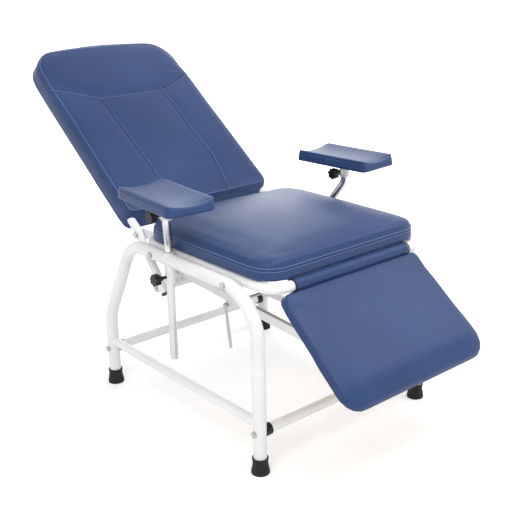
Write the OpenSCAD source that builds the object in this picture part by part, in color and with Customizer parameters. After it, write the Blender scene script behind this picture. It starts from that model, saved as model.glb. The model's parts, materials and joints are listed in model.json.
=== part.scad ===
// Reclining blood-sampling chair: a tubular stand, a padded seat, a backrest on two
// lever tubes, a leg rest hinged round the seat frame's front tube, two link bars that
// join the backrest and the leg rest, and two adjustable armrests.
// Millimetres. +Z is up, the sitter faces -Y, and the origin is on the floor, midway
// between the four feet.

/* [Stand] */
// Distance between the centre lines of the two side frames
frame_spacing = 550; // [530:1:600]
// Distance between the centres of a side frame's front and rear foot
foot_spacing = 627; // [600:1:680]
// Height of the rail's centre line
rail_z = 439.5; // [430:0.5:470]
// Outer diameter of the side frame tube
rail_d = 32; // [30:0.5:34]
// Wall of the frame tubes
tube_wall = 2; // [1.5:0.1:2.5]
// Centre-line radius of the bend between the front leg and the rail
front_bend_r = 115; // [90:1:125]
// Height of the knee in the rear leg
knee_z = 204; // [190:1:220]
// Centre-line radius of the knee
knee_bend_r = 115; // [90:1:125]
// How far the rear leg leans forward above its knee
rear_lean = 128; // [110:1:140]
// Centre-line radius of the bend between the rear leg and the rail
rear_bend_r = 90; // [70:1:95]
// Height of the side braces
side_brace_z = 126; // [115:1:150]
// Outer diameter of the side braces
side_brace_d = 24; // [20:1:26]
// Height of the cross braces
cross_brace_z = 105; // [80:1:110]
// Outer diameter of the cross braces
cross_brace_d = 25; // [20:1:26]

/* [Seat] */
// Outer diameter of the seat frame tube
seat_tube_d = 25; // [22:0.5:26]
// Height of the seat frame's centre line
seat_tube_z = 446.5; // [444:0.5:480]
// Distance from the origin forward to the seat frame's front tube
seat_front = 331; // [320:1:345]
// Distance from the origin back to the seat frame's rear tube
seat_rear = 160; // [140:1:165]
// Centre-line radius of the seat frame's corners
seat_corner_r = 46; // [35:1:55]
// Thickness of the seat board
seat_board_t = 9; // [6:0.5:15]
// Width of the seat cushion
cushion_w = 516; // [480:1:518]
// Distance from the origin back to the seat cushion's rear edge
cushion_rear = 154; // [130:1:158]
// Distance from the origin forward to the seat cushion's front edge
cushion_front = 328; // [300:1:335]
// Height of the seat cushion's edge
cushion_edge_h = 53; // [45:1:75]
// Crown of the seat cushion above its edge
cushion_crown = 26; // [8:1:35]

/* [Backrest] */
// Angle of the backrest above the horizontal
back_angle = 36.5; // [30:0.5:45]
// Angle of the lever tubes below the horizontal
lever_angle = 52; // [48:0.5:56]
// Distance from the origin back to the backrest's pivot
pivot_y = 220.5; // [215:0.5:235]
// Distance between the centre lines of the backrest's side tubes
back_tube_spacing = 452; // [446:1:456]
// Outer diameter of the backrest's side tubes
back_tube_d = 22; // [20:0.5:24]
// Length of the lever tubes below the pivot
lever_len = 172; // [165:1:190]
// Width of the backrest pad
back_w = 492; // [482:1:500]
// Length of the backrest pad
back_len = 630; // [560:1:700]
// Thickness of the backrest pad at its edge
back_t = 60; // [55:1:75]
// Crown of the backrest pad above its edge
back_crown = 8; // [3:1:15]

/* [Leg rest] */
// Angle of the leg rest below the horizontal
leg_angle = 39; // [35:0.5:45]
// Width of the leg rest pad at its top
leg_w = 438; // [400:1:450]
// How much wider the leg rest pad is at its bottom
leg_flare = 20; // [0:1:30]
// Length of the leg rest pad
leg_len = 298; // [260:1:340]
// Thickness of the leg rest pad at its edge
leg_t = 28; // [20:1:32]
// Crown of the leg rest pad above its edge
leg_crown = 4; // [3:1:14]
// Half the length of the padded roll over the hinge
roll_half = 186; // [150:1:190]

/* [Armrests] */
// Distance from the origin back to the armrest posts
post_y = 16; // [5:1:30]
// Outer diameter of the armrest posts
post_d = 20; // [18:0.5:21]
// Height of a post's lower end
post_low_z = 176; // [160:1:220]
// Height of a post's upper end
post_high_z = 586; // [580:1:600]
// How far a post's crank reaches outwards
crank_out = 23; // [15:1:30]
// How far a post's crank reaches forwards
crank_front = 31; // [20:1:38]
// Length of an armrest pad
arm_len = 235; // [200:1:260]
// Width of an armrest pad
arm_w = 128; // [100:1:130]
// Height of an armrest pad
arm_t = 33; // [28:1:40]
// Angle by which the armrests point outwards at the front
toe_out = 4.5; // [0:0.5:8]

/* [Hidden] */

// Facets of round parts and of small round parts
$fn = 64;
small_fn = 32;

// Clearances: a fixed seat, a running fit, a gap beside a moving part, and the
// overrun of a cut
seat_gap = 0.05;
run_gap = 0.05;
side_gap = 0.5;
soft_gap = 0.3;
over = 1;

// Ring at each joint of a bent tube
weld_len = 2;
weld_rise = 0.2;

left = -1;
right = 1;

// Places that the sizes fix
frame_x = frame_spacing / 2;
foot_y = foot_spacing / 2;
rail_top_y = foot_y - rear_lean;
rail_inner_x = frame_x - rail_d / 2;
rail_outer_x = frame_x + rail_d / 2;

// Feet
foot_floor = 6;
foot_h = 40;
foot_base_d = 44;
foot_neck_d = 37;
foot_lip_d = 39;
foot_lip_h = 5;
foot_skirt_h = 12;

// Leg bolts, saddles and inserts
leg_bolt_d = 8;
bolt_head_d = 15;
bolt_head_h = 4.5;
saddle_d = 30;
saddle_reach = 13;
saddle_wrap = 4;
saddle_socket = 4;
insert_len = 32;
brace_wall = 1.5;
leg_bolt_len = 68;

// Seat frame
seat_tube_x = rail_inner_x - seat_tube_d / 2 - side_gap;
screw_inset = 5;
screw_x = seat_tube_x - screw_inset;
lug_half = 12;
lug_drop = 6;
lug_inset = 0.6;
rail_bolt_d = 8;
rail_bolt_ys = [75, -214];
rail_nut_d = 15;
rail_nut_h = 6.5;
bolt_tail = 3;
screw_d = 5;
screw_head_d = 10;
screw_head_h = 3;
screw_bite = 6;
screw_ys = [100, -240];

// Seat cushion
cushion_z = seat_tube_z + seat_tube_d / 2 + soft_gap;
cushion_corner_r = 65;
cushion_side_share = 0.52;
seam_pull = 2.5;
edge_round = 22;
base_round = 6;
board_margin = 12;
end_round = 14;

// Backrest pivot
pivot_d = 10;
bush_d = 14;
bush_over = 0.2;
ear_t = 6;
ear_r = 12;
back_tube_x = back_tube_spacing / 2;
pivot_head_d = 17;
pivot_head_h = 4;
back_bend_r = 60;
bend_above = 12;
back_tube_in_pad = 485;
lever = [-cos(lever_angle), -sin(lever_angle)];
lever_side = [sin(lever_angle), -cos(lever_angle)];
back_dir = [cos(back_angle), sin(back_angle)];
pivot = [pivot_y, seat_tube_z];
back_knee = pivot - bend_above * lever;
// Height of the side tubes' centre line over the pivot, square to the pad
back_tube_n = (back_knee - pivot) * [-sin(back_angle), cos(back_angle)];
back_knee_u = (back_knee - pivot) * back_dir;
top_bar_u = back_knee_u + back_tube_in_pad;

// Backrest pad: u runs up the backrest from the pivot, n is square to its face
back_low_u = 42;
back_rear_n = -22;
back_taper = 10;
back_corner_r = 78;
back_low_corner_r = 26;
back_edge_round = 14;
back_board_t = 12;
back_panel_t = 3;
back_board_bolt_d = 6;
back_bolt_us = [150, 420];
back_bolt_head_d = 11;
back_bolt_head_h = 3;
panel_inset = 9;
board_inset = 14;
board_gap = 0.3;
back_recess_low = 10;
notch_gap = 1;
seam_x = 108;
seam_lean = 16;
head_seam_u = 456;
head_seam_rise = 63;
seam_spread = 130;
seam_depth = 4;

// Lever cross tube
cross_tube_d = 25;
cross_at = 147.5;
cross_offset = back_tube_d / 2 + cross_tube_d / 2 - 1.5;
cross_over = 6;
cross_tube_yz = pivot + cross_at * lever + cross_offset * lever_side;
plug_len = 5;
plug_inset = 14;

// Link bars
// The leg rest's width sets how far apart the link bars lie
link_x_share = 0.708;
link_x = leg_w / 2 * link_x_share;
link_t = 12;
link_h = 22;
link_wall = 2;
link_pin_d = 8;
link_rear = [143, 347];
link_front = [-424.5, 308.5];
link_slack = 4;
link_vec = link_front - link_rear;
link_len = norm(link_vec);
link_angle = atan(link_vec[1] / link_vec[0]);
link_solid_end = 26;
cheek_t = 4;
cheek_gap = 0.5;
cheek_r = 11;
pin_head_d = 13;
pin_head_h = 3;
pin_tail = 3;

// Release lever
release_d = 8;
release_y = -62;
release_drop = 112;
release_lean = 9;
release_below = 19.5;
nub_r = 6;
nub_gap = 0.5;
lug_r = 8;

// Leg rest: u runs down the leg rest from its hinge, n is square to its face
hinge_wall = 1.5;
hinge = [-seat_front, seat_tube_z];
hinge_r = seat_tube_d / 2 + run_gap + hinge_wall;
roll_t = 1.6;
ring_w = 3;
ring_gap = 0.3;
leg_top_u = 16.2;
leg_rear_n = -31;
leg_corner_r = 24;
leg_low_corner_r = 50;
leg_board_t = 10;
leg_board_margin = 12;
arm_plate_t = 5;
arm_web_t = 3;
arm_depth = 16;
arm_top_u = 12;
arm_low_margin = 26;
front_pin_vec = link_front - hinge;
front_pin_u = front_pin_vec * [-cos(leg_angle), -sin(leg_angle)];
front_pin_n = front_pin_vec * [-sin(leg_angle), cos(leg_angle)];
front_pin_boss = 11;

// Armrest sockets and posts
socket_d = 26;
socket_low_z = 378;
socket_high_z = 458;
liner_t = 0.95;
liner_flange_t = 2;
post_wall = 2;
crank_low_z = 480;
crank_high_z = 538;
crank_bend_r = 38;
crank = norm([crank_out, crank_front]);
knob_z = 397;
knob_reach = 42;
stem_d = 8;

// Armrest brackets and pads
bracket_low_z = 553;
bracket_d = 27;
bracket_plate_t = 4;
bracket_plate_w = 60;
bracket_plate_len = 110;
bracket_boss_d = 16;
bracket_boss_len = 7;
swivel_knob_z = 567;
arm_pad_z = post_high_z + bracket_plate_t + 2;
arm_board_t = 9;
arm_board_margin = 8;
arm_trough = 9;

// Knobs
knob_d = 30;
knob_t = 15;
knob_lobes = 7;
knob_hub_d = 17;
knob_hub_len = 12;
knob_tip_d = 11;

// Unit vector, left-hand normal and turn of a planar path
function unit(v) = v / norm(v);
function left_of(v) = [-v[1], v[0]];
function cross2(a, b) = a[0] * b[1] - a[1] * b[0];
function angle_of(v) = atan2(v[1], v[0]);
function bend_angle(a, b, c) = acos(max(-1, min(1, unit(b - a) * unit(c - b))));
function bend_reach(a, b, c, r) = r * tan(bend_angle(a, b, c) / 2);

// Tube along a planar path of straight runs, each corner rounded by its own radius
module planar_tube(path, radii, d, wall) {
    last = len(path) - 1;
    for (i = [0 : last - 1]) {
        a = path[i];
        b = path[i + 1];
        cut_a = i == 0 ? 0 : bend_reach(path[i - 1], a, b, radii[i - 1]);
        cut_b = i == last - 1 ? 0 : bend_reach(a, b, path[i + 2], radii[i]);
        translate(a + cut_a * unit(b - a))
            rotate([0, 0, angle_of(b - a)])
                rotate([0, 90, 0])
                    linear_extrude(norm(b - a) - cut_a - cut_b)
                        tube_section(d, wall);
    }
    for (i = [1 : last - 1]) {
        a = path[i - 1];
        b = path[i];
        c = path[i + 1];
        reach = bend_reach(a, b, c, radii[i - 1]);
        planar_bend(a, b, c, radii[i - 1], d, wall);
        weld_ring(b - reach * unit(b - a), b - a, d, wall);
        weld_ring(b + reach * unit(c - b), c - b, d, wall);
    }
}

// Thin ring that joins a straight run and a bend
module weld_ring(at, along, d, wall) {
    translate(at)
        rotate([0, 0, angle_of(along)])
            rotate([0, 90, 0])
                linear_extrude(weld_len, center = true)
                    tube_section(d + 2 * weld_rise, wall + (wall > 0 ? 2 * weld_rise : 0));
}

module tube_section(d, wall) {
    difference() {
        circle(d = d);
        if (wall > 0) circle(d = d - 2 * wall);
    }
}

module planar_bend(a, b, c, r, d, wall) {
    turn = sign(cross2(b - a, c - b));
    start = b - bend_reach(a, b, c, r) * unit(b - a);
    end = b + bend_reach(a, b, c, r) * unit(c - b);
    centre = start + turn * r * left_of(unit(b - a));
    from = turn > 0 ? start - centre : end - centre;
    translate(centre)
        rotate([0, 0, angle_of(from)])
            rotate_extrude(angle = bend_angle(a, b, c))
                translate([r, 0]) tube_section(d, wall);
}

// Stand a drawing of the YZ plane up at x
module side_plane(x) {
    translate([x, 0, 0]) rotate([90, 0, 90]) children();
}

// Plate of the YZ plane, centred on x
module side_plate(x, t) {
    side_plane(x - t / 2) linear_extrude(t) children();
}

// Round bar or hole along X between two places
module x_rod(from, to, yz, d, fn = $fn) {
    translate([min(from, to), yz[0], yz[1]])
        rotate([0, 90, 0]) cylinder(h = abs(to - from), d = d, $fn = fn);
}

module x_tube(from, to, yz, d, wall) {
    translate([min(from, to), yz[0], yz[1]])
        rotate([0, 90, 0]) linear_extrude(abs(to - from)) tube_section(d, wall);
}

module hex_nut(from, to, yz, d, bore) {
    difference() {
        x_rod(from, to, yz, d, 6);
        x_rod(min(from, to) - over, max(from, to) + over, yz, bore);
    }
}

// Bolt along X: its head lies outside the face at x, its shank runs inwards
module x_bolt(side, face, len, yz, d, head_d, head_h) {
    union() {
        x_rod(side * face, side * (face + head_h), yz, head_d, small_fn);
        x_rod(side * (face - len), side * (face + head_h / 2), yz, d, small_fn);
    }
}

// Side frames: front leg, rail and kneed rear leg in one bent tube
frame_path = [
    [-foot_y, foot_floor], [-foot_y, rail_z], [rail_top_y, rail_z],
    [foot_y, knee_z], [foot_y, foot_floor]
];
frame_radii = [front_bend_r, rear_bend_r, knee_bend_r];

module side_frame(side) {
    color("white")
        difference() {
            side_plane(side * frame_x)
                planar_tube(frame_path, frame_radii, rail_d, tube_wall);
            translate([side * frame_x, post_y, rail_z - rail_d])
                cylinder(h = 2 * rail_d, d = socket_d + 2 * seat_gap);
            for (y = rail_bolt_ys)
                x_rod(side * (frame_x - rail_d), side * (frame_x + rail_d),
                    [y, rail_z], rail_bolt_d + 2 * seat_gap);
            for (y = [-foot_y, foot_y])
                x_rod(side * (frame_x - rail_d), side * (frame_x + rail_d),
                    [y, cross_brace_z], leg_bolt_d + 2 * seat_gap);
        }
}

module legs_at(side, extra) {
    for (y = [-foot_y, foot_y])
        translate([side * frame_x, y, 0])
            cylinder(h = knee_z, d = rail_d + 2 * extra);
}

module side_brace(side) {
    color("white")
        difference() {
            translate([side * frame_x, -foot_y, side_brace_z])
                rotate([-90, 0, 0])
                    linear_extrude(foot_spacing) tube_section(side_brace_d, brace_wall);
            legs_at(side, seat_gap);
        }
}

brace_end_x = rail_inner_x - saddle_reach + saddle_socket;

module cross_brace(y) {
    color("white")
        x_tube(-brace_end_x, brace_end_x, [y, cross_brace_z], cross_brace_d, brace_wall);
}

module saddle(side, y) {
    difference() {
        x_rod(side * (rail_inner_x - saddle_reach), side * (rail_inner_x + saddle_wrap),
            [y, cross_brace_z], saddle_d);
        translate([side * frame_x, y, 0])
            cylinder(h = knee_z, d = rail_d + 2 * seat_gap);
        x_rod(side * (rail_inner_x - saddle_reach - over), side * (brace_end_x + seat_gap),
            [y, cross_brace_z], cross_brace_d + 2 * seat_gap);
        x_rod(side * (rail_inner_x - saddle_reach), side * (rail_inner_x + saddle_wrap),
            [y, cross_brace_z], leg_bolt_d + 2 * seat_gap);
    }
}

module brace_saddles() {
    color("black")
        for (side = [left, right], y = [-foot_y, foot_y]) saddle(side, y);
}

module brace_inserts() {
    color("gray")
        for (side = [left, right], y = [-foot_y, foot_y])
            x_tube(side * (brace_end_x - insert_len), side * brace_end_x,
                [y, cross_brace_z], cross_brace_d - 2 * brace_wall - 2 * seat_gap,
                (cross_brace_d - leg_bolt_d) / 2 - brace_wall - 2 * seat_gap);
}

module leg_bolts() {
    color("silver")
        for (side = [left, right], y = [-foot_y, foot_y])
            x_bolt(side, rail_outer_x + seat_gap, leg_bolt_len, [y, cross_brace_z],
                leg_bolt_d, bolt_head_d, bolt_head_h);
}

// Rubber foot with a socket for the leg and a lip round its top
foot_profile = [
    [0, 0], [foot_base_d / 2, 0], [foot_base_d / 2, foot_skirt_h / 2],
    [foot_neck_d / 2, foot_skirt_h * 2], [foot_neck_d / 2, foot_h - foot_lip_h],
    [foot_lip_d / 2, foot_h - foot_lip_h], [foot_lip_d / 2, foot_h],
    [rail_d / 2 + seat_gap, foot_h], [rail_d / 2 + seat_gap, foot_floor],
    [0, foot_floor]
];

module feet(y) {
    color("black")
        for (side = [left, right])
            translate([side * frame_x, y, 0]) rotate_extrude() polygon(foot_profile);
}

// Seat frame: a closed ring of tube with four threaded lugs under its sides
ring_half = [seat_tube_x - seat_corner_r, (seat_front + seat_rear) / 2 - seat_corner_r];
ring_mid_y = (seat_rear - seat_front) / 2;

module seat_ring(d, wall) {
    translate([0, ring_mid_y, seat_tube_z]) {
        for (side = [left, right]) {
            translate([side * seat_tube_x, -ring_half[1], 0])
                rotate([-90, 0, 0]) linear_extrude(2 * ring_half[1]) tube_section(d, wall);
            translate([-ring_half[0], side * (ring_half[1] + seat_corner_r), 0])
                rotate([0, 90, 0]) linear_extrude(2 * ring_half[0]) tube_section(d, wall);
        }
        for (turn = [0, 90, 180, 270]) {
            corner = turn == 0 ? [1, 1] : turn == 90 ? [-1, 1] : turn == 180 ? [-1, -1] : [1, -1];
            translate([corner[0] * ring_half[0], corner[1] * ring_half[1], 0])
                rotate([0, 0, turn])
                    rotate_extrude(angle = 90) translate([seat_corner_r, 0]) tube_section(d, wall);
        }
    }
}

lug_inner_x = seat_tube_x - seat_tube_d / 2;
lug_outer_x = rail_inner_x - lug_inset;

module seat_lug(side, y) {
    difference() {
        translate([side > 0 ? lug_inner_x : -lug_outer_x, y - lug_half,
                seat_tube_z - seat_tube_d / 2 - lug_drop])
            cube([lug_outer_x - lug_inner_x, 2 * lug_half, lug_drop + seat_tube_d / 2]);
        translate([side * seat_tube_x, y - lug_half - over, seat_tube_z])
            rotate([-90, 0, 0]) cylinder(h = 2 * lug_half + 2 * over, d = seat_tube_d - tube_wall);
    }
}

module seat_frame() {
    color("white")
        difference() {
            union() {
                seat_ring(seat_tube_d, tube_wall);
                for (side = [left, right], y = rail_bolt_ys) seat_lug(side, y);
            }
            for (side = [left, right], y = rail_bolt_ys)
                x_rod(side * (lug_inner_x - over), side * (lug_outer_x + over), [y, rail_z],
                    rail_bolt_d + 2 * seat_gap);
            for (side = [left, right], y = screw_ys)
                translate([side * screw_x, y, seat_tube_z - seat_tube_d])
                    cylinder(h = 2 * seat_tube_d, d = screw_d + 2 * seat_gap, $fn = small_fn);
        }
}

module rail_bolts() {
    color("silver")
        for (side = [left, right], y = rail_bolt_ys)
            x_bolt(side, rail_outer_x + seat_gap,
                rail_outer_x - lug_inner_x + rail_nut_h + bolt_tail, [y, rail_z],
                rail_bolt_d, bolt_head_d, bolt_head_h);
}

module rail_nuts() {
    color("silver")
        for (side = [left, right], y = rail_bolt_ys)
            hex_nut(side * (lug_inner_x - seat_gap), side * (lug_inner_x - seat_gap - rail_nut_h),
                [y, rail_z], rail_nut_d, rail_bolt_d + 2 * seat_gap);
}

// Seat board and cushion
board_low_z = seat_tube_z + seat_tube_d / 2 + seat_gap;
board_half_x = cushion_w / 2 - board_margin;

module rounded_plate(half_x, low_y, high_y, r, t) {
    translate([0, (low_y + high_y) / 2, 0])
        linear_extrude(t)
            union() {
                square([2 * (half_x - r), high_y - low_y], center = true);
                square([2 * half_x, high_y - low_y - 2 * r], center = true);
                for (sx = [-1, 1], sy = [-1, 1])
                    translate([sx * (half_x - r), sy * ((high_y - low_y) / 2 - r)])
                        circle(r = r);
            }
}

module seat_board() {
    color("tan")
        difference() {
            translate([0, 0, board_low_z])
                rounded_plate(board_half_x, board_margin - cushion_front,
                    cushion_rear - board_margin, cushion_corner_r - board_margin, seat_board_t);
            for (side = [left, right], y = screw_ys)
                translate([side * screw_x, y, board_low_z - over])
                    cylinder(h = screw_bite + over, d = screw_d + 2 * seat_gap, $fn = small_fn);
        }
}

module seat_screws() {
    low = seat_tube_z - seat_tube_d / 2 - seat_gap;
    color("silver")
        for (side = [left, right], y = screw_ys)
            translate([side * screw_x, y, low - screw_head_h])
                union() {
                    cylinder(h = screw_head_h, d = screw_head_d, $fn = small_fn);
                    cylinder(h = board_low_z + screw_bite - low + screw_head_h - seat_gap,
                        d = screw_d, $fn = small_fn);
                }
}

// Padded forms: a loft of rings across the width, one ring for each row of y places
function corner_half(half, low, high, r_low, r_high, y) =
    y < low + r_low ? half - r_low + sqrt(max(0, r_low ^ 2 - (low + r_low - y) ^ 2))
    : y > high - r_high ? half - r_high + sqrt(max(0, r_high ^ 2 - (y - high + r_high) ^ 2))
    : half;

// How far down and up a row's ring shrinks near an end, as a share from 0 to 1
function end_fall(low, high, r, y) =
    let (d = min(y - low, high - y)) d >= r ? 0 : 1 - sqrt(max(0, 1 - ((r - d) / r) ^ 2));

// One ring in the XZ plane: base, side with a drawn-in seam, rounded edge and top
top_shares = [for (i = [-7 : 7]) i / 7 * 0.93];

function pad_ring(y, half, base, edge, crowned, pull, seam_at, rb, rt) =
    let (
        right_side = [
            [half - rb, base(0)], [half - rb * 0.3, base(0) + rb * 0.3],
            [half, base(0) + rb], [half - pull * 0.2, seam_at - pull],
            [half - pull, seam_at], [half - pull * 0.2, seam_at + pull],
            [half, edge - rt], [half - rt * 0.3, edge - rt * 0.3]
        ],
        top = [for (s = top_shares) [-s * (half - rt * 0.6), crowned(-s)]],
        left_side = [for (i = [len(right_side) - 1 : -1 : 0]) [-right_side[i][0], right_side[i][1]]]
    )
    [for (q = concat(right_side, top, left_side)) [q[0], y, q[1]]];

module skin(rings) {
    n = len(rings[0]);
    m = len(rings);
    points = [for (ring = rings) each ring];
    walls = [
        for (j = [0 : m - 2], i = [0 : n - 1])
            let (a = j * n + i, b = j * n + (i + 1) % n)
                each [[a, b + n, b], [a, a + n, b + n]]
    ];
    low_cap = [for (i = [1 : n - 2]) [0, i, i + 1]];
    high_cap = [for (i = [1 : n - 2]) [(m - 1) * n, (m - 1) * n + i + 1, (m - 1) * n + i]];
    polyhedron(points = points, faces = concat(low_cap, walls, high_cap));
}

// Rows of y places, close together where the ends round off
end_row_shares = [0, 0.04, 0.14, 0.3, 0.55, 1];
function row_places(low, high, r_low, r_high, middle) = concat(
    [for (s = end_row_shares) low + s * r_low],
    [for (i = [1 : middle]) low + r_low + i / (middle + 1) * (high - low - r_low - r_high)],
    [for (i = [len(end_row_shares) - 1 : -1 : 0]) high - end_row_shares[i] * r_high]
);

function bulge(s) = 1 - s ^ 2;

cushion_edge_z = cushion_z + cushion_edge_h;
cushion_seam_z = cushion_z + cushion_side_share * cushion_edge_h;

module seat_cushion() {
    rows = row_places(-cushion_front, cushion_rear, cushion_corner_r, cushion_corner_r, 11);
    mid = (cushion_rear - cushion_front) / 2;
    half_len = (cushion_rear + cushion_front) / 2;
    rings = [
        for (y = rows)
            let (
                half = corner_half(cushion_w / 2, -cushion_front, cushion_rear,
                    cushion_corner_r, cushion_corner_r, y),
                fall = end_fall(-cushion_front, cushion_rear, end_round, y),
                along = (y - mid) / half_len,
                edge = cushion_edge_z - fall * end_round
            )
            pad_ring(y, half, function(s) cushion_z + fall * base_round, edge,
                function(s) edge + cushion_crown * bulge(s) * bulge(along),
                seam_pull, cushion_seam_z, base_round, edge_round)
    ];
    color("midnightblue")
        difference() {
            skin(rings);
            translate([0, 0, board_low_z - over])
                rounded_plate(board_half_x + soft_gap, board_margin - cushion_front - soft_gap,
                    cushion_rear - board_margin + soft_gap, cushion_corner_r - board_margin,
                    seat_board_t + over + soft_gap);
        }
}

// Backrest pivots
ear_outer_x = back_tube_x - back_tube_d / 2 - side_gap;

module pivot_ears() {
    color("white")
        for (side = [left, right])
            difference() {
                side_plate(side * (ear_outer_x - ear_t / 2), ear_t)
                    union() {
                        translate(pivot) circle(r = ear_r);
                        translate([seat_rear, seat_tube_z - ear_r])
                            square([pivot_y - seat_rear, 2 * ear_r]);
                    }
                seat_ring(seat_tube_d + 2 * seat_gap, 0);
                translate([0, -seat_tube_d / 2, 0])
                    x_rod(-frame_x, frame_x, [seat_rear, seat_tube_z], seat_tube_d);
                x_rod(side * (ear_outer_x - ear_t - over), side * (ear_outer_x + over), pivot,
                    pivot_d + 2 * seat_gap);
            }
}

module pivot_bolts() {
    face = back_tube_x + back_tube_d / 2 + side_gap;
    color("silver")
        for (side = [left, right])
            x_bolt(side, face, face - ear_outer_x + ear_t + bolt_tail, pivot,
                pivot_d, pivot_head_d, pivot_head_h);
}

module pivot_bushes() {
    color("gray")
        for (side = [left, right])
            x_tube(side * (back_tube_x - back_tube_d / 2 - bush_over),
                side * (back_tube_x + back_tube_d / 2 + bush_over), pivot, bush_d,
                (bush_d - pivot_d) / 2 - run_gap);
}

// Backrest side tubes: lever below the pivot, bent into the pad above it
lever_end = pivot + lever_len * lever;
back_tube_end = back_knee + back_tube_in_pad * back_dir;

module back_tube(side) {
    color("white")
        difference() {
            side_plane(side * back_tube_x)
                planar_tube([lever_end, back_knee, back_tube_end], [back_bend_r],
                    back_tube_d, tube_wall);
            x_rod(side * (back_tube_x - back_tube_d), side * (back_tube_x + back_tube_d), pivot,
                bush_d + 2 * seat_gap);
            for (u = back_bolt_us) back_bolt_hole(side, u, back_board_bolt_d + 2 * seat_gap);
        }
}

module in_backrest() {
    translate([0, pivot[0], pivot[1]]) rotate([back_angle, 0, 0]) children();
}

module back_bolt_hole(side, u, d) {
    in_backrest()
        translate([side * back_tube_x, u, back_tube_n - back_tube_d])
            cylinder(h = 2 * back_tube_d + back_board_t, d = d, $fn = small_fn);
}

module back_top_bar() {
    color("white")
        difference() {
            in_backrest()
                x_tube(-back_tube_x, back_tube_x, [top_bar_u - back_tube_d, back_tube_n],
                    back_tube_d, tube_wall);
            for (side = [left, right])
                in_backrest()
                    translate([side * back_tube_x, 0, back_tube_n])
                        rotate([-90, 0, 0])
                            cylinder(h = top_bar_u + over, d = back_tube_d + 2 * seat_gap);
        }
}

module lever_cross_tube() {
    color("white")
        difference() {
            x_tube(-back_tube_x - cross_over, back_tube_x + cross_over, cross_tube_yz,
                cross_tube_d, tube_wall);
            for (side = [left, right])
                side_plane(side * back_tube_x)
                    translate(pivot)
                        rotate([0, 0, lever_angle + 180])
                            rotate([0, 90, 0])
                                cylinder(h = lever_len, d = back_tube_d + 2 * seat_gap);
        }
}

module lever_plugs() {
    color("black")
        for (side = [left, right])
            side_plane(side * back_tube_x)
                translate(lever_end)
                    rotate([0, 0, lever_angle + 180])
                        rotate([0, 90, 0])
                            union() {
                                cylinder(h = plug_len, d = back_tube_d);
                                translate([0, 0, -plug_inset])
                                    cylinder(h = plug_inset + plug_len / 2,
                                        d = back_tube_d - 2 * tube_wall - 2 * seat_gap);
                            }
}

// Backrest board, bolts, pad and rear panel
back_board_n = back_tube_n + back_tube_d / 2 + board_gap;
back_high_u = back_low_u + back_len;
back_inner_half = back_w / 2 - panel_inset;
recess_low_u = back_low_u + back_recess_low;
recess_high_u = back_high_u - back_corner_r;

module back_board() {
    color("tan")
        difference() {
            in_backrest()
                translate([0, 0, back_board_n])
                    rounded_plate(back_w / 2 - board_inset - soft_gap, recess_low_u + soft_gap,
                        recess_high_u - soft_gap, back_low_corner_r, back_board_t);
            for (side = [left, right], u = back_bolt_us)
                back_bolt_hole(side, u, back_board_bolt_d + 2 * seat_gap);
        }
}

module back_board_bolts() {
    low = back_tube_n - back_tube_d / 2 - seat_gap - back_bolt_head_h;
    color("silver")
        for (side = [left, right], u = back_bolt_us)
            in_backrest()
                translate([side * back_tube_x, u, low])
                    union() {
                        cylinder(h = back_bolt_head_h, d = back_bolt_head_d, $fn = small_fn);
                        cylinder(h = back_board_n + back_board_t - low, d = back_board_bolt_d,
                            $fn = small_fn);
                    }
}

// Depth of the sewn channels at a place on the backrest's face
function groove(d, w) = abs(d) >= w ? 0 : seam_depth * (1 - abs(d) / w);
function head_seam_at(x) = head_seam_u + head_seam_rise * max(0, abs(x) - seam_x) / (back_w / 2 - seam_x);
groove_w = 15;

// Rows that follow the head seam where it crosses the backrest
back_row_us = concat(
    row_places(back_low_u, head_seam_u - groove_w, back_low_corner_r, groove_w, 4),
    [head_seam_u],
    [for (s = [0.3, 1.1, 2.5, 4.5, 7]) head_seam_u + s * groove_w],
    [for (s = [1, 0.7, 0.45, 0.25, 0.1, 0.03, 0]) back_high_u - s * back_corner_r]
);

function back_half(u) =
    corner_half(back_w / 2 - back_taper * max(0, (u - head_seam_u / 2) / back_len),
        back_low_u, back_high_u, back_low_corner_r, back_corner_r, u);

back_top_shares = [
    -0.93, -0.8, -0.62, -0.5, -0.43, -0.36, -0.22, 0,
    0.22, 0.36, 0.43, 0.5, 0.62, 0.8, 0.93
];

module back_form() {
    mid = back_low_u + back_len / 2;
    edge_n = back_rear_n + back_t;
    rings = [
        for (u = back_row_us)
            let (
                half = back_half(u),
                fall = end_fall(back_low_u, back_high_u, end_round, u),
                along = (u - mid) / (back_len / 2),
                edge = edge_n - fall * end_round,
                low = back_rear_n + fall * base_round,
                warp = max(0, 1 - abs(u - head_seam_u) / seam_spread),
                side = [
                    [half - base_round, low], [half - base_round * 0.3, low + base_round * 0.3],
                    [half, low + base_round], [half, (edge + low) / 2],
                    [half - seam_pull * 0.4, edge - back_edge_round * 0.7],
                    [half - back_edge_round * 0.4, edge - back_edge_round * 0.2]
                ],
                top = [
                    for (s = back_top_shares)
                        let (
                            x = -s * (half - back_edge_round * 0.4),
                            seam_here = seam_x - seam_lean * (head_seam_u - u) / back_len
                        )
                        [x, edge + back_crown * bulge(s) * bulge(along) - (fall > 0 ? 0
                            : max(u < head_seam_u + over ? groove(abs(x) - seam_here, groove_w) : 0,
                                groove(u - head_seam_u, groove_w)))]
                ],
                mirrored = [for (i = [len(side) - 1 : -1 : 0]) [-side[i][0], side[i][1]]]
            )
            [
                for (q = concat(side, top, mirrored))
                    [q[0], u + warp * (head_seam_at(q[0]) - head_seam_u), q[1]]
            ]
    ];
    skin(rings);
}

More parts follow.
